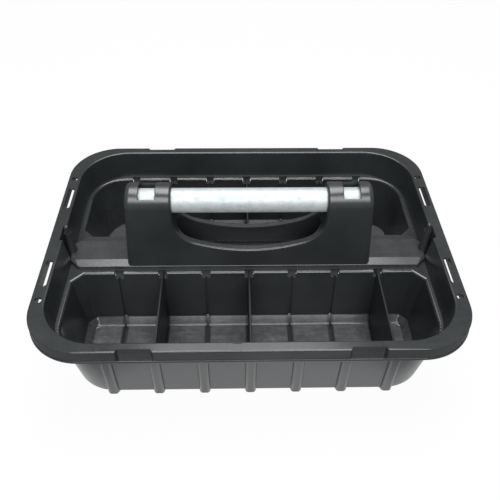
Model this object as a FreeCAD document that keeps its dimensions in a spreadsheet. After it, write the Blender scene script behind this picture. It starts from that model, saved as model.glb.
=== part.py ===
import FreeCAD, Part
import math
import os
import Sketcher

# Open carrying tray with two troughs, a handle bridge with a tube grip, and lift-out dividers.
# Millimetres, +Z up. The origin is on the table, under the middle of the tray.

SIZES = [
    ("rim_width", 400.0, "outer width of the rim along X"),
    ("rim_depth", 300.0, "outer depth of the rim along Y"),
    ("rim_radius", 51.3, "plan radius of the rim corners"),
    ("rim_height", 104.0, "top of the rim above the table"),
    ("rim_side_flat", 13.8, "flat of the rim at the ends"),
    ("rim_long_flat", 11.0, "flat of the rim at front and back"),
    ("rim_edge_round", 1.4, "round on the outer top edge of the rim"),
    ("skirt_height", 14.6, "height of the rim with its skirt"),
    ("skirt_wall", 2.2, "thickness of the skirt"),
    ("bead_height", 2.6, "height of the bead round the foot of the skirt"),
    ("bead_proud", 0.6, "bead beyond the skirt"),
    ("bead_round", 0.5, "round on the edges of the bead and the skirt foot"),
    ("open_radius", 50.0, "plan radius of the inner rim corners"),
    ("open_round", 1.6, "round on the inner top edge of the rim"),
    ("wall", 2.5, "thickness of the moulded walls"),
    ("shoulder_drop", 30.0, "shoulder below the top of the rim"),
    ("shoulder_width", 7.5, "width of the shoulder along the front and back"),
    ("shoulder_end", 5.0, "width of the shoulder along the ends"),
    ("upper_draft", 7.0, "draft of the walls above the shoulder, degrees"),
    ("lower_draft", 4.5, "draft of the long walls below the shoulder, degrees"),
    ("end_draft", 6.5, "draft of the end walls below the shoulder, degrees"),
    ("ridge_half", 28.5, "half width of the ridge at the shoulder"),
    ("trough_radius", 35.0, "plan radius of the outer trough corners at the shoulder"),
    ("bend_radius", 40.0, "plan radius of the outer trough corners above the bevel"),
    ("foot_radius", 32.0, "plan radius of the outer trough corners at the floor"),
    ("ridge_chamfer", 11.0, "plan chamfer of the trough corners at the ridge"),
    ("floor_top", 6.0, "trough floor above the table"),
    ("floor_bevel", 7.5, "bevel between the walls and the floor"),
    ("trough_round", 3.0, "round on the trough edges at the shoulder"),
    ("floor_round", 3.0, "round in the bends of the trough floor"),
    ("foot_round", 2.5, "round on the outer edge of the bottom"),
    ("groove_count", 7.0, "divider grooves along each wall"),
    ("groove_pitch", 44.0, "distance between divider grooves"),
    ("groove_width", 2.6, "width of a divider groove"),
    ("groove_depth", 2.4, "depth of a divider groove"),
    ("mouth_width", 9.5, "width of the groove mouth in the shoulder"),
    ("mouth_height", 7.0, "height of the groove mouth below the shoulder"),
    ("rib_width", 10.5, "width of the rib behind a groove"),
    ("rib_round", 3.2, "round on the edges of the ribs"),
    ("hole_x", 192.5, "rim holes and slots from the middle along X"),
    ("hole_y", 90.0, "round rim holes from the middle along Y"),
    ("hole_radius", 3.3, "radius of the round rim holes"),
    ("slot_y", 56.0, "middle of the rim slots along Y"),
    ("slot_length", 34.0, "length of the rim slots"),
    ("slot_width", 6.6, "width of the rim slots"),
    ("notch_inner", 83.0, "inner end of a grip notch along X, at the skirt face"),
    ("notch_outer", 117.0, "outer end of a grip notch along X, at the skirt face"),
    ("notch_depth", 4.2, "depth of the grip notches"),
    ("mark_x", -12.5, "middle of the small square sinking in the front rim"),
    ("mark_side", 7.6, "side of the square sinking"),
    ("mark_depth", 0.5, "depth of the square sinking"),
    ("fit_gap", 0.3, "clearance between seated mouldings"),
    ("bridge_end", 182.6, "end of the bridge ledge along X"),
    ("bridge_half", 22.6, "half width of the bridge at its foot"),
    ("bridge_face", 4.0, "height of the upright face of the ledge"),
    ("deck_half", 13.6, "half width of the flat deck"),
    ("deck_rise", 1.8, "rise of the bevel up to the deck"),
    ("end_chamfer", 9.5, "plan chamfer of the bridge ends at the foot"),
    ("deck_chamfer", 5.0, "plan chamfer of the bridge ends at the deck"),
    ("post_foot", 123.6, "outer face of a post at the deck along X"),
    ("post_top", 117.6, "outer face of a post at the crown along X"),
    ("post_round", 5.0, "round on the outer ends of the posts"),
    ("ledge_round", 1.0, "round on the edge of the ledge"),
    ("ear_x", 130.0, "middle of the ledge ears behind the posts along X"),
    ("ear_radius", 17.0, "radius of the ledge ears"),
    ("cap_wall", 5.6, "crown radius beyond the tube radius"),
    ("hand_half", 74.6, "half width of the hand hole"),
    ("hand_floor", 98.0, "lowest point of the hand hole above the table"),
    ("hand_arc", 160.0, "radius of the low edge of the hand hole"),
    ("hand_corner", 31.0, "corner radius of the hand hole"),
    ("lip_round", 2.5, "round on the lips of the hand hole"),
    ("lip_width", 5.6, "lip along the hand hole edge"),
    ("window_inner", 89.5, "inner edge of a tube window along X"),
    ("window_outer", 105.2, "outer edge of a tube window along X"),
    ("window_half", 13.4, "half width of a tube window along Y"),
    ("crown_edge", 0.8, "round on the edges of the crown"),
    ("tube_radius", 12.0, "outer radius of the grip tube"),
    ("tube_wall", 1.5, "wall of the grip tube"),
    ("tube_half", 110.0, "half length of the grip tube"),
    ("tube_height", 145.7, "tube axis above the table"),
    ("tube_gap", 0.05, "radial clearance of the tube in its seats"),
    ("seat_plate", 2.5, "plate that carries each tube end"),
    ("peg_x", 183.0, "axis of the locating pegs along X"),
    ("peg_foot", 6.0, "foot radius of a locating peg"),
    ("peg_tip", 2.4, "tip radius of a locating peg"),
    ("peg_rise", 7.6, "top of the peg cone above the rim"),
    ("recess_half", 10.5, "half width of the peg recess along Y"),
    ("recess_depth", 3.2, "depth of the peg recess behind the rim edge"),
    ("boss_x", 150.0, "screw bosses from the middle along X"),
    ("boss_y", 10.0, "screw bosses from the middle along Y"),
    ("boss_radius", 4.0, "radius of a screw boss"),
    ("screw_radius", 1.8, "shank radius of a bridge screw"),
    ("screw_gap", 0.05, "radial clearance of a screw in its pilot hole"),
    ("screw_length", 5.2, "shank length of a bridge screw above the seat"),
    ("head_radius", 5.6, "head radius of a bridge screw"),
    ("head_height", 2.6, "head height of a bridge screw"),
    ("divider_thickness", 2.0, "thickness of a divider"),
    ("divider_engage", 1.9, "depth of a divider in its grooves"),
    ("divider_drop", 2.0, "divider top below the shoulder"),
    ("divider_round", 0.7, "round on the top edges of a divider"),
]

doc = FreeCAD.newDocument("caddy")
sheet = doc.addObject("Spreadsheet::Sheet", "sizes")
for row, (alias, number, note) in enumerate(SIZES, 1):
    sheet.set("A%d" % row, note)
    sheet.set("B%d" % row, repr(number))
    sheet.setAlias("B%d" % row, alias)
doc.recompute()
NUMBERS = {alias: number for alias, number, note in SIZES}


class Size:
    """A number together with the sheet expression it comes from."""

    def __init__(self, value, text):
        self.value = value
        self.text = text

    @staticmethod
    def of(other):
        return other if isinstance(other, Size) else Size(float(other), repr(float(other)))

    def joined(self, other, sign, value):
        return Size(value, "(%s %s %s)" % (self.text, sign, other.text))

    def __add__(self, other):
        other = Size.of(other)
        return self.joined(other, "+", self.value + other.value)

    def __sub__(self, other):
        other = Size.of(other)
        return self.joined(other, "-", self.value - other.value)

    def __mul__(self, other):
        other = Size.of(other)
        return self.joined(other, "*", self.value * other.value)

    def __truediv__(self, other):
        other = Size.of(other)
        return self.joined(other, "/", self.value / other.value)

    def __radd__(self, other):
        return Size.of(other) + self

    def __rsub__(self, other):
        return Size.of(other) - self

    def __rmul__(self, other):
        return Size.of(other) * self

    def __neg__(self):
        return Size.of(0.0) - self


def size(alias):
    """The sheet value with this alias."""
    return Size(NUMBERS[alias], "sizes.%s" % alias)


def tangent(alias):
    """Tangent of an angle of the sheet, in degrees."""
    return Size(math.tan(math.radians(NUMBERS[alias])), "tan(sizes.%s * 1 deg)" % alias)


def root(inside):
    """Square root of a size."""
    return Size(math.sqrt(inside.value), "sqrt(%s)" % inside.text)


def bind(obj, name, value):
    """Binds one property of a document object to a size."""
    value = Size.of(value)
    obj.setExpression(name, value.text)


def place(obj, x, y, z, axis=None, angle=0.0):
    """Places an object by three sizes and an optional turn."""
    turn = FreeCAD.Rotation(axis, angle) if axis else FreeCAD.Rotation()
    parts = [Size.of(v) for v in (x, y, z)]
    obj.Placement = FreeCAD.Placement(FreeCAD.Vector(*[v.value for v in parts]), turn)
    for letter, v in zip("xyz", parts):
        obj.setExpression("Placement.Base.%s" % letter, v.text)


def new_body(label):
    body = doc.addObject("PartDesign::Body", label)
    body.Label = label
    return body


def new_sketch(body, name, role, offset=0.0):
    """Empty sketch on one of the body's own planes, moved along its normal."""
    sketch = body.newObject("Sketcher::SketchObject", name)
    plane = [f for f in body.Origin.OriginFeatures if getattr(f, "Role", "") == role][0]
    sketch.AttachmentSupport = [(plane, "")]
    sketch.MapMode = "FlatFace"
    offset = Size.of(offset)
    sketch.AttachmentOffset = FreeCAD.Placement(FreeCAD.Vector(0, 0, offset.value), FreeCAD.Rotation())
    sketch.setExpression("AttachmentOffset.Base.z", offset.text)
    return sketch


def pin(sketch, geometry, position, point):
    """Fixes one point of a sketch by its two coordinates."""
    for kind, value in zip(("DistanceX", "DistanceY"), point):
        value = Size.of(value)
        index = sketch.addConstraint(Sketcher.Constraint(kind, -1, 1, geometry, position, value.value))
        sketch.setExpression("Constraints[%d]" % index, value.text)


def draw_loop(sketch, corners):
    """Closed loop; a corner is (x, y) or (x, y, centre) when an arc leads to the next corner."""
    count = len(corners)
    first = sketch.GeometryCount
    for n, corner in enumerate(corners):
        start = FreeCAD.Vector(Size.of(corner[0]).value, Size.of(corner[1]).value, 0)
        after = corners[(n + 1) % count]
        end = FreeCAD.Vector(Size.of(after[0]).value, Size.of(after[1]).value, 0)
        if len(corner) == 2:
            sketch.addGeometry(Part.LineSegment(start, end), False)
            continue
        centre = FreeCAD.Vector(Size.of(corner[2][0]).value, Size.of(corner[2][1]).value, 0)
        middle = (start + end) * 0.5 - centre
        if middle.Length < 1e-6:
            middle = FreeCAD.Vector(end.y - start.y, start.x - end.x, 0)
        middle = centre + middle.normalize() * (start - centre).Length
        sketch.addGeometry(Part.Arc(start, middle, end), False)
    flipped = {}
    for n, corner in enumerate(corners):
        begin = sketch.getPoint(first + n, 1)
        x, y = Size.of(corner[0]).value, Size.of(corner[1]).value
        flipped[n] = abs(begin.x - x) + abs(begin.y - y) > 1e-4
    for n, corner in enumerate(corners):
        start_of = 2 if flipped[n] else 1
        previous = (n - 1) % count
        end_of = 1 if flipped[previous] else 2
        pin(sketch, first + n, start_of, corner[:2])
        sketch.addConstraint(Sketcher.Constraint("Coincident", first + previous, end_of, first + n, start_of))
        if len(corner) == 3:
            level = abs(Size.of(corner[1]).value - Size.of(corners[(n + 1) % count][1]).value) < 1e-6
            kind = "DistanceY" if level else "DistanceX"
            value = Size.of(corner[2][1 if level else 0])
            index = sketch.addConstraint(Sketcher.Constraint(kind, -1, 1, first + n, 3, value.value))
            sketch.setExpression("Constraints[%d]" % index, value.text)


def draw_circle(sketch, x, y, radius):
    x, y, radius = Size.of(x), Size.of(y), Size.of(radius)
    centre = FreeCAD.Vector(x.value, y.value, 0)
    index = sketch.addGeometry(Part.Circle(centre, FreeCAD.Vector(0, 0, 1), radius.value), False)
    pin(sketch, index, 3, (x, y))
    bound = sketch.addConstraint(Sketcher.Constraint("Radius", index, radius.value))
    sketch.setExpression("Constraints[%d]" % bound, radius.text)


def rectangle(x0, y0, x1, y1):
    return [(x0, y0), (x1, y0), (x1, y1), (x0, y1)]


def rounded(half_x, half_y, radius):
    """Corners of a rectangle with round corners about the origin."""
    inner_x = half_x - radius
    inner_y = half_y - radius
    return [
        (half_x, -inner_y), (half_x, inner_y, (inner_x, inner_y)),
        (inner_x, half_y), (-inner_x, half_y, (-inner_x, inner_y)),
        (-half_x, inner_y), (-half_x, -inner_y, (-inner_x, -inner_y)),
        (-inner_x, -half_y), (inner_x, -half_y, (inner_x, -inner_y)),
    ]


def extrude(body, kind, name, sketch, length, both=False, flip=False, taper=None):
    """Pad or pocket of a sketch; both sides alike when asked for."""
    feature = body.newObject("PartDesign::%s" % kind, name)
    feature.Profile = sketch
    feature.SideType = "Symmetric" if both else "One side"
    feature.Reversed = flip
    bind(feature, "Length", length)
    if taper is not None:
        feature.setExpression("TaperAngle", taper)
    sketch.Visibility = False
    doc.recompute()
    return feature


def repeat(body, name, feature, length, count):
    """Row of copies of a feature along X."""
    pattern = body.newObject("PartDesign::LinearPattern", name)
    pattern.Originals = [feature]
    axis = [f for f in body.Origin.OriginFeatures if getattr(f, "Role", "") == "X_Axis"][0]
    pattern.Direction = (axis, [""])
    bind(pattern, "Length", length)
    pattern.setExpression("Occurrences", count.text)
    body.Tip = pattern
    doc.recompute()
    return pattern


def loft(body, kind, name, first, second):
    """Straight loft between two sketches."""
    feature = body.newObject("PartDesign::%s" % kind, name)
    feature.Profile = first
    feature.Sections = [second]
    feature.Ruled = True
    first.Visibility = False
    second.Visibility = False
    doc.recompute()
    return feature


def cylinder(body, kind, name, radius, height, x, y, z):
    feature = body.newObject("PartDesign::%s" % kind, name)
    bind(feature, "Radius", radius)
    bind(feature, "Height", height)
    place(feature, x, y, z)
    doc.recompute()
    return feature


def middle(edge):
    return edge.valueAt((edge.FirstParameter + edge.LastParameter) / 2.0)


def level_at(edge, height):
    """True for an edge that lies wholly at this height."""
    points = [v.Point for v in edge.Vertexes] + [middle(edge)]
    return all(abs(p.z - height.value) < 1e-3 for p in points)


def ease(body, name, radius, rule):
    """Round on those edges of the body that fit a rule."""
    tip = body.Tip
    names = ["Edge%d" % n for n, edge in enumerate(tip.Shape.Edges, 1) if rule(edge)]
    feature = body.newObject("PartDesign::Fillet", name)
    feature.Base = (tip, names)
    bind(feature, "Radius", radius)
    body.Tip = feature
    doc.recompute()
    return feature


wall = size("wall")
rim_top = size("rim_height")
half_x = size("rim_width") / 2.0
half_y = size("rim_depth") / 2.0
open_x = half_x - size("rim_side_flat")
open_y = half_y - size("rim_long_flat")
open_radius = size("open_radius")
shoulder = rim_top - size("shoulder_drop")
upper_slope = tangent("upper_draft")
lower_slope = tangent("lower_draft")
end_slope = tangent("end_draft")
floor = size("floor_top")
bevel = size("floor_bevel")
bevel_top = floor + bevel
upper_inset = size("shoulder_drop") * upper_slope
trough_x = open_x - upper_inset - size("shoulder_end")
trough_y = open_y - upper_inset - size("shoulder_width")
ridge = size("ridge_half")
skirt_foot = rim_top - size("skirt_height")


def trough_plan(sketch, drop_in, end_in, radius):
    """Plan of the front trough, moved in on the long sides and at the ends."""
    edge_x = trough_x - end_in
    front = -(trough_y - drop_in)
    back = -(ridge + drop_in)
    cut = size("ridge_chamfer") - drop_in * 0.5858
    draw_loop(sketch, [
        (edge_x, front + radius), (edge_x, back - cut),
        (edge_x - cut, back), (cut - edge_x, back),
        (-edge_x, back - cut), (-edge_x, front + radius, (radius - edge_x, front + radius)),
        (radius - edge_x, front), (edge_x - radius, front, (edge_x - radius, front + radius)),
    ])


def trough_section(reach, top):
    """Half section of the front trough in Y and Z, grown outwards by the reach."""
    grown = reach * 1.4142
    level = floor - reach
    lower_in = (shoulder - bevel_top) * lower_slope
    ridge_foot = -(ridge + lower_in + bevel)
    front_foot = -(trough_y - lower_in - bevel)
    ridge_line = floor - ridge_foot - grown
    front_line = floor + front_foot - grown
    ridge_bend = (ridge_line - ridge - shoulder * lower_slope + reach) / (1.0 - lower_slope)
    front_bend = (front_line + trough_y - shoulder * lower_slope + reach) / (1.0 - lower_slope)
    return [
        (-(ridge + (shoulder - top) * lower_slope - reach), top),
        (-(ridge + (shoulder - ridge_bend) * lower_slope - reach), ridge_bend),
        (level - ridge_line, level),
        (front_line - level, level),
        (-(trough_y - (shoulder - front_bend) * lower_slope + reach), front_bend),
        (-(trough_y - (shoulder - top) * lower_slope + reach), top),
    ]


def mirrored(points):
    return [(-y, z) for y, z in points]


tray = new_body("tray_shell")

# Rim with its hollow skirt and the bead round its foot.
proud = size("bead_proud")
sketch = new_sketch(tray, "rim_plan", "XY_Plane", skirt_foot)
draw_loop(sketch, rounded(half_x - proud, half_y - proud, size("rim_radius") - proud))
extrude(tray, "Pad", "rim", sketch, size("skirt_height"))
ease(tray, "rim_round", size("rim_edge_round"), lambda edge: level_at(edge, rim_top))
sketch = new_sketch(tray, "bead_plan", "XY_Plane", skirt_foot)
draw_loop(sketch, rounded(half_x, half_y, size("rim_radius")))
extrude(tray, "Pad", "bead", sketch, size("bead_height"))
bead_top = skirt_foot + size("bead_height")


def on_bead(edge):
    """True for an outer edge of the bead."""
    point = middle(edge)
    corner_x = abs(point.x) - (half_x - size("rim_radius")).value
    corner_y = abs(point.y) - (half_y - size("rim_radius")).value
    reach = math.hypot(max(corner_x, 0.0), max(corner_y, 0.0))
    outside = reach > size("rim_radius").value - 0.01
    return outside and (level_at(edge, skirt_foot) or level_at(edge, bead_top))


ease(tray, "bead_round", size("bead_round"), on_bead)
sketch = new_sketch(tray, "channel_plan", "XY_Plane", skirt_foot)
skirt = size("skirt_wall")
draw_loop(sketch, rounded(half_x - skirt, half_y - skirt, size("rim_radius") - skirt))
extrude(tray, "Pocket", "channel", sketch, size("skirt_height") - wall, flip=True)

# Grip notches in the long sides, with a wall behind each.
sketch = new_sketch(tray, "notch_back_plan", "XY_Plane", skirt_foot)
for side_x in (-1.0, 1.0):
    for side_y in (-1.0, 1.0):
        x0 = side_x * (size("notch_inner") - skirt)
        x1 = side_x * (size("notch_outer") + skirt)
        y0 = side_y * (half_y - size("notch_depth") - skirt)
        y1 = side_y * (half_y - skirt * 0.5)
        draw_loop(sketch, rectangle(x0, y0, x1, y1))
extrude(tray, "Pad", "notch_back", sketch, size("skirt_height") - wall * 0.5)
sketch = new_sketch(tray, "notch_cut_plan", "XY_Plane", rim_top)
slant = size("notch_depth") * 0.7
for side_x in (-1.0, 1.0):
    for side_y in (-1.0, 1.0):
        inner, outer = size("notch_inner"), size("notch_outer")
        draw_loop(sketch, [
            (side_x * inner, side_y * (half_y + 1.0)),
            (side_x * outer, side_y * (half_y + 1.0)),
            (side_x * (outer - slant), side_y * (half_y - size("notch_depth"))),
            (side_x * (inner + slant), side_y * (half_y - size("notch_depth"))),
        ])
extrude(tray, "Pocket", "notch_cut", sketch, size("skirt_height") - size("bead_height"))

# Outside of the walls: above the shoulder, below it, and the bevel round the bottom.
sketch = new_sketch(tray, "upper_plan", "XY_Plane", rim_top - wall * 0.5)
draw_loop(sketch, rounded(open_x + wall, open_y + wall, open_radius + wall))
upper_height = size("shoulder_drop") + wall * 0.5
extrude(tray, "Pad", "upper_wall", sketch, upper_height, flip=True, taper="-1 * sizes.upper_draft")
outer_level = shoulder - wall
outer_bend = bevel_top - wall * 0.4
bottom = floor - wall
shift = (outer_level - outer_bend) * lower_slope
foot_shift = shift + outer_bend - bottom
end_shift = (outer_level - outer_bend) * end_slope
end_foot = end_shift + outer_bend - bottom
levels = [
    ("lower_plan", outer_level, Size.of(0.0), Size.of(0.0), size("trough_radius")),
    ("bend_plan", outer_bend, shift, end_shift, size("bend_radius")),
    ("foot_plan", bottom, foot_shift, end_foot, size("foot_radius")),
]
plans = []
for name, level, inward, end_in, radius in levels:
    sketch = new_sketch(tray, name, "XY_Plane", level)
    draw_loop(sketch, rounded(trough_x + wall - end_in, trough_y + wall - inward, radius + wall))
    plans.append(sketch)
loft(tray, "AdditiveLoft", "lower_wall", plans[0], plans[1])
loft(tray, "AdditiveLoft", "foot", plans[1], plans[2])
ease(tray, "foot_round", size("foot_round"), lambda edge: level_at(edge, bottom))

# Hollow of the ridge, open below.
hollow_slope = (outer_level - outer_bend) * lower_slope
levels = [
    ("hollow_high", outer_bend, outer_level,
     (trough_x - end_shift, ridge - wall + hollow_slope), (trough_x, ridge - wall)),
    ("hollow_low", bottom - 1.0, outer_bend,
     (trough_x - end_shift - bevel - 3.0, ridge + hollow_slope + bevel - wall),
     (trough_x - end_shift - 1.0, ridge - wall + hollow_slope)),
]
for name, low, high, wide, narrow in levels:
    first = new_sketch(tray, name + "_foot", "XY_Plane", low)
    draw_loop(first, rectangle(-wide[0], -wide[1], wide[0], wide[1]))
    second = new_sketch(tray, name + "_top", "XY_Plane", high)
    draw_loop(second, rectangle(-narrow[0], -narrow[1], narrow[0], narrow[1]))
    loft(tray, "SubtractiveLoft", name, first, second)

# Thick wall behind the recesses of the locating pegs, and the space above the shoulder.
recess_x = open_x + size("recess_depth")
recess_y = size("recess_half")
sketch = new_sketch(tray, "recess_wall_plan", "XY_Plane", outer_level)
for side in (-1.0, 1.0):
    x0, x1 = side * (trough_x - 2.0), side * (recess_x + wall)
    draw_loop(sketch, rectangle(x0, -(recess_y + wall), x1, recess_y + wall))
extrude(tray, "Pad", "recess_wall", sketch, rim_top - wall * 0.5 - outer_level)
sketch = new_sketch(tray, "mouth_plan", "XY_Plane", rim_top)
draw_loop(sketch, rounded(open_x, open_y, open_radius))
extrude(tray, "Pocket", "mouth", sketch, size("shoulder_drop"), taper="-1 * sizes.upper_draft")


def on_mouth(edge):
    """True for an edge between the top of the rim and the mouth."""
    point = middle(edge)
    inside = abs(point.x) < open_x.value + 0.1 and abs(point.y) < open_y.value + 0.1
    return level_at(edge, rim_top) and inside


ease(tray, "mouth_round", size("open_round"), on_mouth)

# Seats of the bridge: peg recesses and boss holes.
sketch = new_sketch(tray, "recess_plan", "XY_Plane", rim_top)
for side in (-1.0, 1.0):
    x0, x1 = side * (open_x - upper_inset - 1.0), side * recess_x
    draw_loop(sketch, rectangle(x0, -recess_y, x1, recess_y))
extrude(tray, "Pocket", "recesses", sketch, size("shoulder_drop"))
sketch = new_sketch(tray, "boss_hole_plan", "XY_Plane", shoulder)
for side_x in (-1.0, 1.0):
    for side_y in (-1.0, 1.0):
        x, y = side_x * size("boss_x"), side_y * size("boss_y")
        draw_circle(sketch, x, y, size("boss_radius") + size("fit_gap"))
extrude(tray, "Pocket", "boss_holes", sketch, wall + 1.0)

# Holes, slots and the plain square sinking of the rim.
sketch = new_sketch(tray, "rim_hole_plan", "XY_Plane", rim_top)
end = size("slot_length") / 2.0 - size("slot_width") / 2.0
wide = size("slot_width") / 2.0
for side_x in (-1.0, 1.0):
    for side_y in (-1.0, 1.0):
        draw_circle(sketch, side_x * size("hole_x"), side_y * size("hole_y"), size("hole_radius"))
        x, y = side_x * size("hole_x"), side_y * size("slot_y")
        draw_loop(sketch, [
            (x + wide, y - end), (x + wide, y + end, (x, y + end)),
            (x - wide, y + end), (x - wide, y - end, (x, y - end)),
        ])
extrude(tray, "Pocket", "rim_holes", sketch, wall + 1.0)
sketch = new_sketch(tray, "mark_plan", "XY_Plane", rim_top)
mark = size("mark_side") / 2.0
mark_y = -(half_y - size("rim_long_flat") / 2.0)
draw_loop(sketch, rectangle(size("mark_x") - mark, mark_y - mark, size("mark_x") + mark, mark_y + mark))
extrude(tray, "Pocket", "mark", sketch, size("mark_depth"))

# The two troughs, with rounds on their edges and in the bends of their floors.
lower_in = (shoulder - bevel_top) * lower_slope
end_in = (shoulder - bevel_top) * end_slope
levels = [
    ("trough_plan", shoulder, Size.of(0.0), Size.of(0.0), size("trough_radius")),
    ("trough_bend", bevel_top, lower_in, end_in, size("bend_radius")),
    ("trough_floor", floor, lower_in + bevel, end_in + bevel, size("foot_radius")),
]
plans = []
for name, level, inward, endward, radius in levels:
    sketch = new_sketch(tray, name, "XY_Plane", level)
    trough_plan(sketch, inward, endward, radius)
    plans.append(sketch)
trough = loft(tray, "SubtractiveLoft", "trough", plans[0], plans[1])
trough_foot = loft(tray, "SubtractiveLoft", "trough_foot", plans[1], plans[2])
mirror = tray.newObject("PartDesign::Mirrored", "rear_trough")
mirror.Originals = [trough, trough_foot]
plane = [f for f in tray.Origin.OriginFeatures if getattr(f, "Role", "") == "XZ_Plane"][0]
mirror.MirrorPlane = (plane, [""])
tray.Tip = mirror
doc.recompute()


def on_trough(edge):
    """True for an edge between the shoulder and a trough wall."""
    point = middle(edge)
    inside = abs(point.x) < trough_x.value + 0.1 and ridge.value - 0.1 < abs(point.y) < trough_y.value + 0.1
    if not inside or not level_at(edge, shoulder):
        return False
    faces = tray.Tip.Shape.ancestorsOfType(edge, Part.Face)
    return any(f.BoundBox.ZMin < shoulder.value - 1.0 for f in faces)


def in_trough(edge, height):
    """True for an edge at this height inside the troughs."""
    point = middle(edge)
    inside = abs(point.x) < trough_x.value and ridge.value < abs(point.y) < trough_y.value
    return inside and level_at(edge, height)


ease(tray, "trough_round", size("trough_round"), on_trough)
ease(tray, "floor_round", size("floor_round"), lambda edge: in_trough(edge, floor))
ease(tray, "bend_round", size("floor_round"), lambda edge: in_trough(edge, bevel_top))

# Ribs that carry the divider grooves; the tray stands on them.
first_x = size("groove_pitch") * (size("groove_count") - 1.0) / -2.0
run = size("groove_pitch") * (size("groove_count") - 1.0)
count = size("groove_count")
rib_top = shoulder - wall
band = trough_section(floor, rib_top) + trough_section(wall * 0.4, rib_top)[::-1]
rib_set = new_body("rib_set")
rib_set.AllowCompound = True
sketch = new_sketch(rib_set, "rib_section", "YZ_Plane", first_x)
draw_loop(sketch, band)
draw_loop(sketch, mirrored(band))
rib = extrude(rib_set, "Pad", "rib", sketch, size("rib_width"), both=True)
repeat(rib_set, "ribs", rib, run, count)
rib_path = [(Size.of(y).value, Size.of(z).value) for y, z in trough_section(floor, rib_top)]


def on_rib_path(point):
    """True for a point on the outer line of the rib section."""
    y, z = -abs(point.y), point.z
    for (y0, z0), (y1, z1) in zip(rib_path, rib_path[1:]):
        run_y, run_z = y1 - y0, z1 - z0
        length = math.hypot(run_y, run_z)
        aside = abs((y - y0) * run_z - (z - z0) * run_y) / length
        along = ((y - y0) * run_y + (z - z0) * run_z) / length
        if aside < 0.01 and -0.01 < along < length + 0.01:
            return True
    return False


def on_rib(edge):
    """True for a long outer edge of a rib."""
    points = [v.Point for v in edge.Vertexes]
    upright = max(p.x for p in points) - min(p.x for p in points) < 1e-3
    return upright and all(on_rib_path(p) for p in points)


ease(rib_set, "rib_round", size("rib_round"), on_rib)

# Divider grooves with wide mouths in the shoulder.
mouth_top = shoulder + 1.0
cut = trough_section(size("groove_depth"), mouth_top)
groove_set = new_body("groove_set")
groove_set.AllowCompound = True
sketch = new_sketch(groove_set, "groove_section", "YZ_Plane", first_x)
draw_loop(sketch, cut)
draw_loop(sketch, mirrored(cut))
groove = extrude(groove_set, "Pad", "groove", sketch, size("groove_width"), both=True)
repeat(groove_set, "grooves", groove, run, count)
lead = trough_section(size("shoulder_width") * 0.6, mouth_top)
depth = shoulder - size("mouth_height")
inner = trough_section(Size.of(-1.0), depth)
lead_ridge = [lead[0], (lead[0][0], depth), inner[0], (inner[0][0], mouth_top)]
lead_front = [lead[5], (lead[5][0], depth), inner[5], (inner[5][0], mouth_top)]
sketch = new_sketch(groove_set, "lead_section", "YZ_Plane", first_x)
for outline in (lead_ridge, lead_front):
    draw_loop(sketch, outline)
    draw_loop(sketch, mirrored(outline))
lead_in = extrude(groove_set, "Pad", "lead", sketch, size("mouth_width"), both=True)
repeat(groove_set, "leads", lead_in, run, count)

ribbed = doc.addObject("Part::Fuse", "ribbed_shell")
ribbed.Base = tray
ribbed.Tool = rib_set
ribbed.Refine = False
tray_part = doc.addObject("Part::Cut", "tray")
tray_part.Label = "tray"
tray_part.Base = ribbed
tray_part.Tool = groove_set
doc.recompute()


# Handle bridge: a ledge between the end walls, two posts and the hand hole between them.
axis_z = size("tube_height")
crown = size("tube_radius") + size("cap_wall")
ledge_top = shoulder + size("bridge_face")
deck = ledge_top + size("deck_rise")
ledge_half = size("bridge_half")
reach_x = size("bridge_end")
post_half = ledge_half - 0.6


def handle_section(inset_by, foot):
    """Section of the posts in Y and Z: slanted sides that run into a round crown without a kink."""
    side = post_half - inset_by
    top = crown - inset_by
    rise = axis_z - foot
    span = side * side + rise * rise
    reach = root(span - top * top)
    touch_y = (top * top * side + top * reach * rise) / span
    touch_z = axis_z + (top * reach * side - top * top * rise) / span
    return [(-side, foot), (side, foot), (touch_y, touch_z, (Size.of(0.0), axis_z)), (-touch_y, touch_z)]


post_high = axis_z + crown + 4.0
post_low = ledge_top - 2.0


def post_outside(sketch, inset_by):
    """Everything outside the slanted outer faces of the two posts, in X and Z."""
    far = size("post_foot") + 30.0
    line_foot = size("post_foot") - inset_by
    line_top = size("post_top") - inset_by
    for side in (-1.0, 1.0):
        draw_loop(sketch, [
            (side * far, post_low), (side * line_foot, post_low),
            (side * line_top, post_high), (side * far, post_high),
        ])


def hand_hole(sketch, grow):
    """Outline of the hand hole in X and Z, open to the top: a wide low arc runs into two corner arcs."""
    edge = size("hand_half") + grow
    low = size("hand_floor") - grow
    broad = size("hand_arc") + grow
    corner = size("hand_corner") + grow
    side = edge - corner
    apart = broad - corner
    drop = root(apart * apart - side * side)
    middle_z = low + broad - drop
    touch_x = side * broad / apart
    touch_z = low + broad - drop * broad / apart
    draw_loop(sketch, [
        (edge, post_high), (-edge, post_high),
        (-edge, middle_z, (-side, middle_z)),
        (-touch_x, touch_z, (Size.of(0.0), low + broad)),
        (touch_x, touch_z, (side, middle_z)),
        (edge, middle_z),
    ])


ledge = new_body("bridge_ledge")
deck_half = size("deck_half")


def ledge_plan(sketch, half, cut):
    """Plan of the ledge with cut corners."""
    draw_loop(sketch, [
        (reach_x, -(half - cut)), (reach_x, half - cut), (reach_x - cut, half), (cut - reach_x, half),
        (-reach_x, half - cut), (-reach_x, -(half - cut)), (cut - reach_x, -half), (reach_x - cut, -half),
    ])


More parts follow.
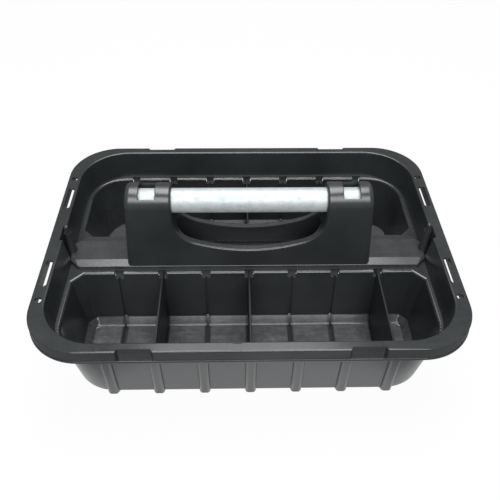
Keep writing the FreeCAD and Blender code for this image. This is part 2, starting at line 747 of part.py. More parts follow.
cut = size("end_chamfer")
plans = []
for name, level, half, corner in (("ledge_foot", shoulder, ledge_half, cut),
                                  ("ledge_edge", ledge_top, ledge_half, cut),
                                  ("ledge_deck", deck, deck_half, size("deck_chamfer"))):
    sketch = new_sketch(ledge, name, "XY_Plane", level)
    ledge_plan(sketch, half, corner)
    plans.append(sketch)
extrude(ledge, "Pad", "ledge", plans[0], size("bridge_face"))
loft(ledge, "AdditiveLoft", "ledge_bevel", plans[1], plans[2])
ease(ledge, "ledge_round", size("ledge_round"), lambda edge: level_at(edge, ledge_top))
sketch = new_sketch(ledge, "ear_plan", "XY_Plane", ledge_top - wall)
for side in (-1.0, 1.0):
    draw_circle(sketch, side * size("ear_x"), ledge_half, size("ear_radius"))
extrude(ledge, "Pad", "ears", sketch, wall)
for side, letter in ((-1.0, "a"), (1.0, "b")):
    peg = ledge.newObject("PartDesign::AdditiveCone", "peg_" + letter)
    bind(peg, "Radius1", size("peg_foot"))
    bind(peg, "Radius2", size("peg_tip"))
    bind(peg, "Height", rim_top + size("peg_rise") - shoulder)
    place(peg, side * size("peg_x"), 0.0, shoulder)
    doc.recompute()
    tip = ledge.newObject("PartDesign::AdditiveSphere", "peg_tip_" + letter)
    bind(tip, "Radius", size("peg_tip"))
    place(tip, side * size("peg_x"), 0.0, rim_top + size("peg_rise"))
    doc.recompute()
    cylinder(ledge, "AdditiveCylinder", "peg_band_" + letter, size("peg_tip") + 1.1, 1.6,
             side * size("peg_x"), 0.0, rim_top - 0.6)
spigot_foot = shoulder - wall + size("fit_gap")
sketch = new_sketch(ledge, "spigot_plan", "XY_Plane", spigot_foot)
pilot = new_sketch(ledge, "pilot_plan", "XY_Plane", spigot_foot)
for side_x in (-1.0, 1.0):
    for side_y in (-1.0, 1.0):
        x, y = side_x * size("boss_x"), side_y * size("boss_y")
        draw_circle(sketch, x, y, size("boss_radius"))
        draw_circle(pilot, x, y, size("screw_radius") + size("screw_gap"))
extrude(ledge, "Pad", "spigots", sketch, wall + size("bridge_face") - 1.2)
extrude(ledge, "Pocket", "pilots", pilot, size("screw_length") + 0.3, flip=True)

posts = new_body("bridge_posts")
sketch = new_sketch(posts, "post_section", "YZ_Plane")
draw_loop(sketch, handle_section(Size.of(0.0), ledge_top - 1.0))
extrude(posts, "Pad", "posts", sketch, 2.0 * (size("post_foot") + 4.0), both=True)
sketch = new_sketch(posts, "post_outside", "XZ_Plane")
post_outside(sketch, Size.of(0.0))
extrude(posts, "Pocket", "post_sides", sketch, 4.0 * ledge_half, both=True)


def on_post_end(point):
    """True for a point on the outer face of a post."""
    share = (point.z - post_low.value) / (post_high - post_low).value
    line = NUMBERS["post_foot"] + share * (NUMBERS["post_top"] - NUMBERS["post_foot"])
    return abs(abs(point.x) - line) < 1e-3


def on_post(edge):
    """True for an edge round the outer face of a post, above the deck."""
    points = [v.Point for v in edge.Vertexes] + [middle(edge)]
    return all(on_post_end(p) for p in points) and max(p.z for p in points) > deck.value + 5.0


ease(posts, "post_round", size("post_round"), on_post)
sketch = new_sketch(posts, "hand_outline", "XZ_Plane")
hand_hole(sketch, Size.of(0.0))
extrude(posts, "Pocket", "hand_hole", sketch, 4.0 * ledge_half, both=True)
slot_top = size("hand_corner") + 8.0
sketch = new_sketch(posts, "hand_slot_plan", "XY_Plane", size("hand_floor") + slot_top)
slot_x = size("hand_half") - 3.0
slot_y = crown - size("lip_width") + 1.5
draw_loop(sketch, rounded(slot_x, slot_y, slot_y - 4.0))
extrude(posts, "Pocket", "hand_slot", sketch, slot_top + wall + 1.0)
sketch = new_sketch(posts, "window_plan", "XY_Plane", axis_z + crown + 1.0)
for side in (-1.0, 1.0):
    x0, x1 = side * size("window_inner"), side * size("window_outer")
    draw_loop(sketch, rectangle(x0, -size("window_half"), x1, size("window_half")))
extrude(posts, "Pocket", "windows", sketch, crown + 1.0)


def on_lip(edge):
    """True for an edge of the hand hole on the front or back face."""
    point = middle(edge)
    outside = abs(point.y) > crown.value - 0.5 and abs(point.x) < NUMBERS["hand_half"] + 0.1
    return outside and NUMBERS["hand_floor"] - 0.1 < point.z < NUMBERS["tube_height"] - 1.0


def on_crown(edge):
    """True for an arc over the crown beside the tube or a window."""
    point = middle(edge)
    cuts = [NUMBERS[name] for name in ("hand_half", "window_inner", "window_outer")]
    return point.z > NUMBERS["tube_height"] + crown.value - 3.0 and min(abs(abs(point.x) - c) for c in cuts) < 0.1


ease(posts, "lip_round", size("lip_round"), on_lip)
ease(posts, "crown_edge", size("crown_edge"), on_crown)
bore = new_sketch(posts, "bore_section", "YZ_Plane")
draw_circle(bore, Size.of(0.0), axis_z, size("tube_radius") + size("tube_gap"))
extrude(posts, "Pocket", "bore", bore, 2.0 * (size("tube_half") + size("fit_gap")), both=True)
outside = doc.addObject("Part::Fuse", "bridge_outside")
outside.Base = ledge
outside.Tool = posts
doc.recompute()

core = new_body("bridge_core")
sketch = new_sketch(core, "core_section", "YZ_Plane")
draw_loop(sketch, handle_section(wall, shoulder - 1.0))
extrude(core, "Pad", "core_posts", sketch, 2.0 * (size("post_foot") - wall), both=True)
sketch = new_sketch(core, "core_outside", "XZ_Plane")
post_outside(sketch, wall)
extrude(core, "Pocket", "core_sides", sketch, 4.0 * ledge_half, both=True)
sketch = new_sketch(core, "core_hand", "XZ_Plane")
hand_hole(sketch, wall)
extrude(core, "Pocket", "core_hand_hole", sketch, 4.0 * ledge_half, both=True)
sketch = new_sketch(core, "seat_outline", "XZ_Plane")
seat = size("window_outer") + 1.6
for side in (-1.0, 1.0):
    x0, x1 = side * seat, side * (seat + size("seat_plate"))
    draw_loop(sketch, rectangle(x0, axis_z - 2.0 * size("tube_radius"), x1, axis_z + crown))
extrude(core, "Pocket", "seat_plates", sketch, 4.0 * ledge_half, both=True)
sketch = new_sketch(core, "ledge_hollow_plan", "XY_Plane", shoulder - 1.0)
end = reach_x - cut - wall
side = ledge_half - wall
draw_loop(sketch, rectangle(-end, -side, end, side))
for side_x in (-1.0, 1.0):
    for side_y in (-1.0, 1.0):
        draw_circle(sketch, side_x * size("boss_x"), side_y * size("boss_y"), size("boss_radius"))
extrude(core, "Pad", "ledge_hollow", sketch, size("bridge_face") + 0.1)

bridge = doc.addObject("Part::Cut", "handle_bridge")
bridge.Label = "handle_bridge"
bridge.Base = outside
bridge.Tool = core
doc.recompute()

# Grip tube.
grip = new_body("grip_tube")
sketch = new_sketch(grip, "tube_section", "YZ_Plane")
draw_circle(sketch, Size.of(0.0), axis_z, size("tube_radius"))
draw_circle(sketch, Size.of(0.0), axis_z, size("tube_radius") - size("tube_wall"))
extrude(grip, "Pad", "tube", sketch, 2.0 * size("tube_half"), both=True)

# Screws that hold the bridge from below.
screws = new_body("bridge_screws")
screws.AllowCompound = True
seat_z = shoulder - wall
heads = new_sketch(screws, "head_plan", "XY_Plane", seat_z)
shanks = new_sketch(screws, "shank_plan", "XY_Plane", seat_z)
drives = new_sketch(screws, "drive_plan", "XY_Plane", seat_z - size("head_height"))
arm = size("head_radius") * 0.55
slim = Size.of(0.6)
for side_x in (-1.0, 1.0):
    for side_y in (-1.0, 1.0):
        x, y = side_x * size("boss_x"), side_y * size("boss_y")
        draw_circle(heads, x, y, size("head_radius"))
        draw_circle(shanks, x, y, size("screw_radius"))
        draw_loop(drives, [
            (x + arm, y - slim), (x + arm, y + slim), (x + slim, y + slim), (x + slim, y + arm),
            (x - slim, y + arm), (x - slim, y + slim), (x - arm, y + slim), (x - arm, y - slim),
            (x - slim, y - slim), (x - slim, y - arm), (x + slim, y - arm), (x + slim, y - slim),
        ])
extrude(screws, "Pad", "heads", heads, size("head_height"), flip=True, taper="-12")
extrude(screws, "Pad", "shanks", shanks, size("screw_length"))
extrude(screws, "Pocket", "drives", drives, size("head_height") * 0.6, flip=True)

# Dividers, each standing in one pair of grooves.
divider_top = shoulder - size("divider_drop")
pitch = size("groove_pitch")
dividers = []
for label, steps, rear in (("divider_front_left", -2.0, False), ("divider_front_middle", 0.0, False),
                           ("divider_front_right", 3.0, False), ("divider_rear", 0.0, True)):
    plate = new_body(label)
    outline = trough_section(size("divider_engage"), divider_top)
    sketch = new_sketch(plate, label + "_section", "YZ_Plane", pitch * steps)
    draw_loop(sketch, mirrored(outline) if rear else outline)
    extrude(plate, "Pad", label + "_plate", sketch, size("divider_thickness"), both=True)
    ease(plate, label + "_round", size("divider_round"), lambda edge: level_at(edge, divider_top) and edge.Length > 5.0)
    dividers.append(plate)

doc.recompute()
faults = [o.Name for o in doc.Objects if "Invalid" in o.State or "Error" in o.State]
os.makedirs("parts", exist_ok=True)
for node in [tray_part, bridge, grip, screws] + dividers:
    shape = node.Shape
    if shape.isNull() or not shape.isValid():
        faults.append(node.Label)
    print(node.Label, len(shape.Solids), round(shape.Volume / 1000.0, 2), shape.optimalBoundingBox(False))
    shape.exportStep("parts/%s.step" % node.Label)
if faults:
    raise RuntimeError("objects with faults: " + ", ".join(faults))
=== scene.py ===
import math

import bpy
import numpy as np
from bpy.props import FloatProperty, FloatVectorProperty, PointerProperty
from mathutils import Matrix, Vector

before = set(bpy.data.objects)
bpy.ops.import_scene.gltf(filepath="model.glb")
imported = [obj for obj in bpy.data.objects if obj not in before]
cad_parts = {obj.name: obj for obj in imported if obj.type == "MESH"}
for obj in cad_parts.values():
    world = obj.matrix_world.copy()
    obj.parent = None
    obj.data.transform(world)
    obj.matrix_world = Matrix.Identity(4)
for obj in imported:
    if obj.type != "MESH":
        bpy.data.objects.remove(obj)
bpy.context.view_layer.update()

bl_info = {
    "name": "Tool caddy looks",
    "version": (1, 0, 0),
    "blender": (4, 5, 0),
    "location": "View3D > Sidebar > Caddy",
    "description": "Finishes, light and camera for an open tool caddy with a tube grip",
    "category": "Object",
}

WHITE = (1.0, 1.0, 1.0, 1.0)

# Each moulding's dust, with the painted channel shade in it, as a multiple of the tray's, and its
# roughness beyond the tray's
MOULDINGS = {"tray": (1.0, 0.0), "handle_bridge": (1.9, 0.10)}
DIVIDERS = ("divider_front_left", "divider_front_middle", "divider_front_right", "divider_rear")

# Roughness that steep faces, clouds, specks and dust add to the plastic, and an even amount that is
# taken off against the clouds and specks
STEEP_ROUGHNESS = 0.16
CLOUD_ROUGHNESS = 0.10
SPECK_ROUGHNESS = 0.04
DUST_ROUGHNESS = 0.15
PLASTIC_EVEN = 0.06

# Roughness that drawing lines and mottle add to the tube, an even amount that is taken off against
# them, and the share of the greyer colour that each brings. The greyer colour's teal tint is a
# painted reflection of the bluish surroundings
LINE_ROUGHNESS = 0.10
MOTTLE_ROUGHNESS = 0.12
TUBE_EVEN = 0.08
LINE_CAST = 0.20
MOTTLE_CAST = 0.55

# Points of a CAD mesh that lie closer than this are one point
MERGE_DISTANCE = 0.00001

# Height over which level faces take on their own direction
LEVEL_FADE = 0.001

# The picture's side in pixels and the width of the camera's sensor in millimetres
IMAGE_SIDE = 500.0
SENSOR_WIDTH = 36.0

# Half the floor's side, and how far it lies below the ribs that the tray stands on
FLOOR_HALF = 6.0
FLOOR_DROP = 0.0004

# Lamps: where each stands and looks, its width and depth, and whether it shows in reflections
CADDY_MIDDLE = (0.0, 0.0, 0.1)
LAMPS = {
    "key": {"place": (0.0, 0.28, 1.6), "target": (0.0, 0.28, 0.1), "size": (1.05, 1.0), "mirrored": True},
    "fill": {"place": (0.0, -2.0, 1.1), "target": CADDY_MIDDLE, "size": (2.4, 1.3), "mirrored": False},
    "front": {"place": (0.0, -1.55, 1.58), "target": CADDY_MIDDLE, "size": (1.8, 1.1), "mirrored": True},
    "rear": {"place": (0.0, 1.02, 1.62), "target": CADDY_MIDDLE, "size": (0.75, 0.4), "mirrored": True},
}


class CaddyFinish(bpy.types.PropertyGroup):
    """Colours and surface sizes of the caddy's own pieces."""

    plastic_colour: FloatVectorProperty(
        name="Moulding colour", description="Base colour of the black moulded plastic",
        default=(0.0202, 0.0233, 0.0248), subtype="COLOR", min=0.0, max=1.0)
    plastic_bloom: FloatVectorProperty(
        name="Bloom colour", description="Paler cast of handled plastic",
        default=(0.0345, 0.0395, 0.0422), subtype="COLOR", min=0.0, max=1.0)
    dust_colour: FloatVectorProperty(
        name="Dust colour", description="Colour of settled dust and scuffs",
        default=(0.23, 0.236, 0.248), subtype="COLOR", min=0.0, max=1.0)
    plastic_roughness: FloatProperty(
        name="Moulding roughness", description="About the mean roughness of the clean plastic",
        default=0.14, min=0.0, max=1.0, subtype="FACTOR")
    plastic_ior: FloatProperty(
        name="Moulding gloss", description="Refractive index that sets the gloss of the plastic",
        default=1.8, min=1.0)
    divider_ior: FloatProperty(
        name="Divider gloss", description="Refractive index that sets the gloss of the dividers",
        default=1.4, min=1.0)
    dust_high: FloatProperty(
        name="Dust on top", description="Share of dust on the rim and the ledge",
        default=0.07, subtype="FACTOR")
    dust_low: FloatProperty(
        name="Dust on the floors", description="Share of dust on the trough floors",
        default=0.70, subtype="FACTOR")
    grain_size: FloatProperty(
        name="Grain size", description="Size of the fine moulded grain",
        default=0.0007, unit="LENGTH")
    flat_level: FloatProperty(
        name="Flat level", description="Level faces below this height keep their own direction",
        default=0.085, unit="LENGTH")
    # Spacing of the channels, along which the painted shade stripes on the floors lie
    channel_pitch: FloatProperty(
        name="Channel pitch", description="Distance between the channels for the dividers",
        default=0.044, unit="LENGTH")
    crease: FloatProperty(
        name="Crease angle", description="Edges sharper than this stay sharp",
        default=math.radians(40.0), subtype="ANGLE")
    tube_colour: FloatVectorProperty(
        name="Tube colour", description="Base colour of the aluminium tube",
        default=(0.77, 0.80, 0.805), subtype="COLOR", min=0.0, max=1.0)
    # Painted reflection: the teal tint of the mottled patches stands in for the bluish surroundings
    # mirrored in the tube
    tube_cast_and_reflection_tint: FloatVectorProperty(
        name="Tube cast", description="Greyer colour of the mottled patches of the tube",
        default=(0.42, 0.53, 0.57), subtype="COLOR", min=0.0, max=1.0)
    tube_roughness: FloatProperty(
        name="Tube roughness", description="About the mean roughness of the tube",
        default=0.50, subtype="FACTOR")
    tube_metal: FloatProperty(
        name="Tube metal", description="Share of bare metal in the look of the dulled tube",
        default=0.4, subtype="FACTOR")
    screw_colour: FloatVectorProperty(
        name="Screw colour", description="Base colour of the plated screws",
        default=(0.62, 0.61, 0.58), subtype="COLOR", min=0.0, max=1.0)
    screw_cast: FloatVectorProperty(
        name="Screw cast", description="Darker colour of the clouds in the plating",
        default=(0.45, 0.44, 0.42), subtype="COLOR", min=0.0, max=1.0)


class CaddyStage(bpy.types.PropertyGroup):
    """Camera, light and floor."""

    camera_place: FloatVectorProperty(
        name="Camera place", description="Where the camera stands",
        default=(-0.01227, -0.45924, 0.52102), subtype="TRANSLATION", unit="LENGTH")
    camera_pitch: FloatProperty(
        name="Camera pitch", description="Angle of the view below level",
        default=0.7668, subtype="ANGLE")
    camera_yaw: FloatProperty(
        name="Camera yaw", description="Turn of the view to the right",
        default=0.0298, subtype="ANGLE")
    camera_roll: FloatProperty(
        name="Camera roll", description="Roll of the camera",
        default=0.0138, subtype="ANGLE")
    focal_pixels: FloatProperty(
        name="Focal length in pixels", description="Focal length measured in image pixels",
        default=609.9)
    floor_colour: FloatVectorProperty(
        name="Floor colour", description="Colour of the studio floor",
        default=(0.92, 0.92, 0.92), subtype="COLOR")
    floor_cast: FloatVectorProperty(
        name="Floor cast", description="Greyer colour of the clouds on the studio floor",
        default=(0.90, 0.90, 0.90), subtype="COLOR")
    floor_white: FloatProperty(
        name="Floor whiteness", description="Share of plain white in the floor as it is seen",
        default=0.95, subtype="FACTOR")
    sheet_half: FloatVectorProperty(
        name="Sheet half size",
        description="Half width and depth of the floor that stays white in reflections",
        size=2, default=(0.230, 0.175), unit="LENGTH")
    floor_far: FloatProperty(
        name="Far floor", description="Brightness of the far floor in reflections",
        default=0.15, subtype="FACTOR")
    sky_strength: FloatProperty(
        name="Sky strength", description="Light from all round", default=0.20)
    key_power: FloatProperty(
        name="Key power", description="Watts of the overhead lamp", default=16.0)
    fill_power: FloatProperty(
        name="Fill power", description="Watts of the broad front light", default=15.0)
    front_power: FloatProperty(
        name="Front power", description="Watts of the high front lamp", default=23.0)
    rear_power: FloatProperty(
        name="Rear power", description="Watts of the rear lamp", default=1.5)


class Value:
    """A shader value: arithmetic on it adds Math nodes to its material."""

    def __init__(self, paint, socket):
        self.paint = paint
        self.socket = socket

    def combine(self, operation, first, second):
        """Value of a Math node on two values or numbers."""
        node = self.paint.node("ShaderNodeMath", {"operation": operation}, {0: first, 1: second})
        return Value(self.paint, node.outputs[0])

    def __add__(self, other):
        return self.combine("ADD", self, other)

    def __radd__(self, other):
        return self.combine("ADD", other, self)

    def __sub__(self, other):
        return self.combine("SUBTRACT", self, other)

    def __rsub__(self, other):
        return self.combine("SUBTRACT", other, self)

    def __mul__(self, other):
        return self.combine("MULTIPLY", self, other)

    def __rmul__(self, other):
        return self.combine("MULTIPLY", other, self)


class Paint:
    """The nodes of one material or world, built one by one."""

    def __init__(self, owner, output="ShaderNodeOutputMaterial"):
        self.owner = owner
        owner.use_nodes = True
        self.tree = owner.node_tree
        self.tree.nodes.clear()
        self.output = self.tree.nodes.new(output)

    def node(self, kind, settings=None, sockets=None):
        """Adds a node: its settings are set first, then the values or links of its sockets."""
        made = self.tree.nodes.new(kind)
        for key, setting in (settings or {}).items():
            setattr(made, key, setting)
        for key, given in (sockets or {}).items():
            if isinstance(given, Value):
                self.tree.links.new(given.socket, made.inputs[key])
            elif isinstance(given, bpy.types.NodeSocket):
                self.tree.links.new(given, made.inputs[key])
            else:
                made.inputs[key].default_value = given
        return made

    def coordinates(self, stretch=(1.0, 1.0, 1.0)):
        """Object coordinates, stretched along the axes."""
        source = self.node("ShaderNodeTexCoord").outputs["Object"]
        mapping = self.node("ShaderNodeMapping", None, {"Vector": source, "Scale": stretch})
        return mapping.outputs["Vector"]

    def noise(self, vector, size, detail=3.0, roughness=0.55):
        """Noise whose features have about this size in metres."""
        made = self.node("ShaderNodeTexNoise", None, {
            "Vector": vector, "Scale": 1.0 / size, "Detail": detail, "Roughness": roughness})
        return Value(self, made.outputs["Fac"])

    def upward(self, source):
        """Upward part of the object coordinates (Object) or of the surface direction (Normal)."""
        vector = self.node("ShaderNodeTexCoord").outputs[source]
        parts = self.node("ShaderNodeSeparateXYZ", None, {0: vector})
        return Value(self, parts.outputs["Z"])

    def from_lines(self, pitch):
        """Distance along X from the nearest of a row of lines with this pitch."""
        vector = self.node("ShaderNodeTexCoord").outputs["Object"]
        along = self.node("ShaderNodeSeparateXYZ", None, {0: vector}).outputs["X"]
        made = self.node("ShaderNodeMath", {"operation": "PINGPONG"}, {0: along, 1: pitch / 2.0})
        return Value(self, made.outputs[0])

    def ray(self, kind):
        """1 for rays of one kind, such as Is Camera Ray, and 0 for the others."""
        return Value(self, self.node("ShaderNodeLightPath").outputs[kind])

    def seen_directly(self):
        """1 for rays from the camera and for mirrored or passing rays, 0 for light on the object."""
        return self.ray("Is Camera Ray") + self.ray("Is Glossy Ray") + self.ray("Is Transmission Ray")

    def spread(self, value, low, high):
        """Stretches a value from low..high to 0..1, clamped; a low above high turns it round."""
        made = self.node("ShaderNodeMapRange", {"clamp": True}, {
            "Value": value, "From Min": low, "From Max": high})
        return Value(self, made.outputs["Result"])

    # A Mix node has sockets 4 and 5 and output 1 for vectors, and 6 and 7 and output 2 for colours

    def mix(self, factor, first, second):
        """Colour between two colours."""
        made = self.node("ShaderNodeMix", {"data_type": "RGBA"}, {0: factor, 6: first, 7: second})
        return made.outputs[2]

    def blend(self, factor, first, second):
        """Shader between two shaders."""
        return self.node("ShaderNodeMixShader", None, {
            0: factor, 1: first.outputs[0], 2: second.outputs[0]})

    def flat_below(self, level):
        """Surface direction: the smooth one, or the face's own if it lies nearly level below a height."""
        geometry = self.node("ShaderNodeNewGeometry").outputs
        own = geometry["True Normal"]
        tilt = self.node("ShaderNodeSeparateXYZ", None, {0: own}).outputs["Z"]
        lying = self.spread(Value(self, tilt), low=0.94, high=0.95)
        flat = lying * self.spread(self.upward("Object"), low=level, high=level - LEVEL_FADE)
        made = self.node("ShaderNodeMix", {"data_type": "VECTOR"}, {
            0: flat, 4: geometry["Normal"], 5: own})
        return made.outputs[1]

    def bump(self, height, distance, strength, direction):
        """Surface direction with a small relief on it."""
        made = self.node("ShaderNodeBump", None, {
            "Height": height, "Distance": distance, "Strength": strength, "Normal": direction})
        return made.outputs["Normal"]

    def surface(self, sockets):
        """Principled surface with these values or links."""
        return self.complete(self.node("ShaderNodeBsdfPrincipled", None, sockets))

    def complete(self, shader):
        """Links the last shader to the output and gives back the material or world."""
        self.tree.links.new(shader.outputs[0], self.output.inputs["Surface"])
        return self.owner


def colour(rgb):
    """Colour socket's four numbers from red, green and blue."""
    return (rgb[0], rgb[1], rgb[2], 1.0)


def ranging(low, high, share):
    """Goes from low to high as the share goes from 0 to 1."""
    return low + (high - low) * share


def dust_and_channel_shade(paint, finish, lying, speck):
    """Dust on what faces up, thick on the trough floors and smeared, with painted shade: dust-free darker
    stripes along each channel on the floors.
    """
    smear = paint.noise(paint.coordinates(), size=0.011, detail=6.0, roughness=0.66)
    along = paint.coordinates(stretch=(0.12, 1.0, 1.0))
    streak = paint.noise(along, size=0.0035, detail=4.0, roughness=0.65)
    streaks = paint.spread(streak, low=0.50, high=0.70)
    smears = paint.spread(smear, low=0.38, high=0.70)
    marks = ranging(streaks, smears, share=0.55)
    floors = paint.spread(paint.upward("Object"), low=0.034, high=0.018)
    # Painted shade: stripes along each divider channel on the floors lose their dust and show darker,
    # standing in for the shade in the channels
    channels = 1.0 - paint.spread(paint.from_lines(finish.channel_pitch), low=0.0026, high=0.0040)
    thick = lying * ranging(finish.dust_high, finish.dust_low, floors) * (1.0 - floors * channels)
    patchy = ranging(low=0.40, high=1.25, share=marks)
    return thick * patchy * ranging(low=0.7, high=1.3, share=speck)


def moulded_plastic(name, finish, dusty, dull, gloss):
    """Black glossy moulding: fine grain, a cloudy cast, duller steep faces, settled dust, and painted
    shade as darker stripes along the channels on the floors.
    """
    paint = Paint(bpy.data.materials.new(name))
    place = paint.coordinates()
    cloud = paint.noise(place, size=0.060, detail=4.0)
    speck = paint.noise(place, size=0.0035, detail=2.0)
    grain = paint.noise(place, size=finish.grain_size, detail=2.0)
    upward = paint.upward("Normal")
    steep = paint.spread(upward, low=0.35, high=0.10)
    lying = paint.spread(upward, low=0.30, high=0.90)
    # Dust, with painted shade in it: the dust-free stripes along the channels on the floors
    dust = dusty * dust_and_channel_shade(paint, finish, lying, speck)
    bloom = paint.spread(cloud, low=0.35, high=0.75)
    black = paint.mix(bloom, colour(finish.plastic_colour), colour(finish.plastic_bloom))
    base = paint.mix(dust, black, colour(finish.dust_colour))
    patterns = STEEP_ROUGHNESS * steep + CLOUD_ROUGHNESS * cloud + SPECK_ROUGHNESS * speck
    rough = finish.plastic_roughness + dull - PLASTIC_EVEN + patterns + DUST_ROUGHNESS * dust
    direction = paint.flat_below(finish.flat_level)
    normal = paint.bump(grain, distance=0.00003, strength=0.6, direction=direction)
    return paint.surface({"Base Color": base, "Roughness": rough, "Normal": normal, "IOR": gloss})


def drawn_aluminium(name, finish):
    """Satin tube with faint drawing lines along its length and a mottled grey cast, tinted teal as a
    painted reflection of the bluish surroundings.
    """
    paint = Paint(bpy.data.materials.new(name))
    lines = paint.noise(paint.coordinates(stretch=(0.03, 1.0, 1.0)), size=0.0006)
    drawn = paint.coordinates(stretch=(0.6, 1.0, 1.0))
    mottle = paint.noise(drawn, size=0.0045, detail=5.0, roughness=0.65)
    # Painted reflection: drawing lines and mottle take the teal cast, which stands in for the bluish
    # surroundings mirrored in the tube
    wear_and_reflection_tint = LINE_CAST * lines + MOTTLE_CAST * paint.spread(mottle, low=0.42, high=0.70)
    base = paint.mix(wear_and_reflection_tint, colour(finish.tube_colour), colour(finish.tube_cast_and_reflection_tint))
    rough = finish.tube_roughness - TUBE_EVEN + LINE_ROUGHNESS * lines + MOTTLE_ROUGHNESS * mottle
    direction = paint.node("ShaderNodeNewGeometry").outputs["Normal"]
    normal = paint.bump(lines, distance=0.00002, strength=0.5, direction=direction)
    return paint.surface({
        "Base Color": base, "Roughness": rough, "Normal": normal, "Metallic": finish.tube_metal})


def plated_steel(name, finish):
    """Zinc plated screw with a cloudy plating."""
    paint = Paint(bpy.data.materials.new(name))
    cloud = paint.noise(paint.coordinates(), size=0.002)
    base = paint.mix(cloud, colour(finish.screw_colour), colour(finish.screw_cast))
    rough = ranging(low=0.25, high=0.45, share=cloud)
    return paint.surface({"Base Color": base, "Roughness": rough, "Metallic": 1.0})


def dress(node, material):
    """Gives a CAD node its finish."""
    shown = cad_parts[node]
    shown.data.materials.clear()
    shown.data.materials.append(material)
    return shown


def smooth_faces(shown, crease):
    """Joins the triangles of a CAD node and shades its rounds smoothly; flat faces stay flat."""
    shown.data.shade_smooth()
    weld = shown.modifiers.new("weld", "WELD")
    weld.merge_threshold = MERGE_DISTANCE
    split = shown.modifiers.new("creases", "EDGE_SPLIT")
    split.split_angle = crease
    split.use_edge_sharp = False
    normals = shown.modifiers.new("normals", "WEIGHTED_NORMAL")
    normals.keep_sharp = True


class CADDY_OT_mouldings(bpy.types.Operator):
    """Finish of the tray and of the handle bridge."""

    bl_idname = "caddy.mouldings"
    bl_label = "Tray and bridge"

    def execute(self, context):
        finish = context.scene.caddy_finish
        for node, (dusty, dull) in MOULDINGS.items():
            material = moulded_plastic(node + "_plastic", finish, dusty, dull, finish.plastic_ior)
            smooth_faces(dress(node, material), finish.crease)
        return {"FINISHED"}


class CADDY_OT_dividers(bpy.types.Operator):
    """Finish of the lift-out dividers."""

    bl_idname = "caddy.dividers"
    bl_label = "Dividers"

    def execute(self, context):
        finish = context.scene.caddy_finish
        material = moulded_plastic(
            "divider_plastic", finish, dusty=0.3, dull=0.24, gloss=finish.divider_ior)
        for node in DIVIDERS:
            smooth_faces(dress(node, material), finish.crease)
        return {"FINISHED"}


class CADDY_OT_tube(bpy.types.Operator):
    """Finish of the grip tube."""

    bl_idname = "caddy.tube"
    bl_label = "Grip tube"

    def execute(self, context):
        finish = context.scene.caddy_finish
        smooth_faces(dress("grip_tube", drawn_aluminium("tube_aluminium", finish)), finish.crease)
        return {"FINISHED"}


class CADDY_OT_screws(bpy.types.Operator):
    """Finish of the screws under the bridge."""

    bl_idname = "caddy.screws"
    bl_label = "Bridge screws"

    def execute(self, context):
        finish = context.scene.caddy_finish
        smooth_faces(dress("bridge_screws", plated_steel("screw_zinc", finish)), finish.crease)
        return {"FINISHED"}


def floor_paint(stage):
    """Pale floor: white in the picture, with a soft shadow, and darker far off in reflections."""
    paint = Paint(bpy.data.materials.new("studio_floor"))
    cloud = paint.noise(paint.coordinates(), size=0.4)
    base = paint.mix(cloud, colour(stage.floor_colour), colour(stage.floor_cast))
    matt = paint.node("ShaderNodeBsdfPrincipled", None, {
        "Base Color": base, "Roughness": 1.0, "Specular IOR Level": 0.0})
    width, depth = stage.sheet_half
    reach = paint.node("ShaderNodeVectorMath", {"operation": "LENGTH"}, {
        0: paint.coordinates((1.0 / width, 1.0 / depth, 1.0))})
    away = paint.spread(Value(paint, reach.outputs["Value"]), low=1.0, high=1.22)
    far = colour([stage.floor_far] * 3)
    shade = paint.mix(away * paint.ray("Is Glossy Ray"), WHITE, far)
    glow = paint.node("ShaderNodeEmission", None, {"Color": shade, "Strength": 1.0})
    return paint.complete(paint.blend(stage.floor_white * paint.seen_directly(), matt, glow))


def studio_sky(stage):
    """Plain light from all round, white where the camera looks straight at it."""
    paint = Paint(bpy.data.worlds.new("studio"), "ShaderNodeOutputWorld")
    light = paint.node("ShaderNodeBackground", None, {"Color": WHITE, "Strength": stage.sky_strength})
    white = paint.node("ShaderNodeBackground", None, {"Color": WHITE, "Strength": 1.0})
    return paint.complete(paint.blend(paint.ray("Is Camera Ray"), light, white))


def add_floor(stage):
    """Square floor: its corners are half a side away from the middle, just below the tray."""
    square = np.array([(-1.0, -1.0, 0.0), (1.0, -1.0, 0.0), (1.0, 1.0, 0.0), (-1.0, 1.0, 0.0)])
    corners = FLOOR_HALF * square - (0.0, 0.0, FLOOR_DROP)
    mesh = bpy.data.meshes.new("floor")
    mesh.from_pydata(corners.tolist(), [], [(0, 1, 2, 3)])
    mesh.materials.append(floor_paint(stage))
    floor = bpy.data.objects.new("floor", mesh)
    bpy.context.scene.collection.objects.link(floor)


def add_lamp(name, power, place, target, size, mirrored):
    """Oblong soft lamp that looks at a point, and that shows in reflections or not."""
    data = bpy.data.lights.new(name, "AREA")
    data.shape = "RECTANGLE"
    data.size, data.size_y = size
    data.energy = power
    lamp = bpy.data.objects.new(name, data)
    lamp.location = place
    lamp.visible_glossy = mirrored
    lamp.rotation_euler = (Vector(target) - Vector(place)).to_track_quat("-Z", "Y").to_euler()
    bpy.context.scene.collection.objects.link(lamp)


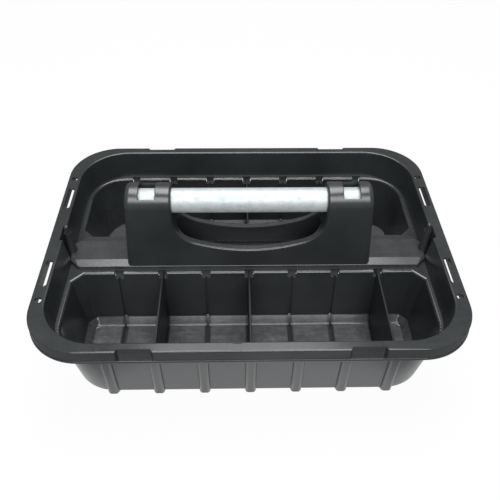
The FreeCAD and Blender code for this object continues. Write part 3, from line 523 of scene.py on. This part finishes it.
def add_camera(stage):
    """Camera from its place and its pitch, yaw and roll."""
    data = bpy.data.cameras.new("view")
    data.sensor_width = SENSOR_WIDTH
    data.lens = stage.focal_pixels / IMAGE_SIDE * SENSOR_WIDTH
    data.clip_start = 0.01
    camera = bpy.data.objects.new("view", data)
    pitch, yaw, roll = stage.camera_pitch, stage.camera_yaw, stage.camera_roll
    ahead = Vector((math.sin(yaw) * math.cos(pitch), math.cos(yaw) * math.cos(pitch), -math.sin(pitch)))
    level = Vector((math.cos(yaw), -math.sin(yaw), 0.0))
    over = level.cross(ahead)
    right = math.cos(roll) * level + math.sin(roll) * over
    up = math.cos(roll) * over - math.sin(roll) * level
    turn = Matrix((right, up, -ahead)).transposed()
    camera.matrix_world = Matrix.Translation(stage.camera_place) @ turn.to_4x4()
    bpy.context.scene.collection.objects.link(camera)
    bpy.context.scene.camera = camera


class CADDY_OT_stage(bpy.types.Operator):
    """Floor, light and camera."""

    bl_idname = "caddy.stage"
    bl_label = "Stage"

    def execute(self, context):
        stage = context.scene.caddy_stage
        powers = {
            "key": stage.key_power, "fill": stage.fill_power,
            "front": stage.front_power, "rear": stage.rear_power}
        add_floor(stage)
        context.scene.world = studio_sky(stage)
        for name, lamp in LAMPS.items():
            add_lamp(name, powers[name], **lamp)
        add_camera(stage)
        context.scene.view_settings.view_transform = "Standard"
        return {"FINISHED"}


class CADDY_PT_panel(bpy.types.Panel):
    """Sidebar list of the caddy's pieces and sizes."""

    bl_idname = "CADDY_PT_panel"
    bl_label = "Tool caddy"
    bl_space_type = "VIEW_3D"
    bl_region_type = "UI"
    bl_category = "Caddy"

    def draw(self, context):
        for group in (context.scene.caddy_finish, context.scene.caddy_stage):
            for key in group.__annotations__:
                self.layout.prop(group, key)
        for operator in OPERATORS:
            self.layout.operator(operator.bl_idname)


OPERATORS = (CADDY_OT_mouldings, CADDY_OT_dividers, CADDY_OT_tube, CADDY_OT_screws, CADDY_OT_stage)
CLASSES = (CaddyFinish, CaddyStage) + OPERATORS + (CADDY_PT_panel,)


def register():
    """Makes the classes and the two groups of values known to Blender."""
    for entry in CLASSES:
        bpy.utils.register_class(entry)
    bpy.types.Scene.caddy_finish = PointerProperty(type=CaddyFinish)
    bpy.types.Scene.caddy_stage = PointerProperty(type=CaddyStage)


def unregister():
    """Takes the groups of values and the classes away again."""
    del bpy.types.Scene.caddy_finish
    del bpy.types.Scene.caddy_stage
    for entry in reversed(CLASSES):
        bpy.utils.unregister_class(entry)


def main():
    """Builds the looks in order."""
    register()
    bpy.ops.caddy.mouldings()
    bpy.ops.caddy.dividers()
    bpy.ops.caddy.tube()
    bpy.ops.caddy.screws()
    bpy.ops.caddy.stage()


if __name__ == "__main__":
    main()
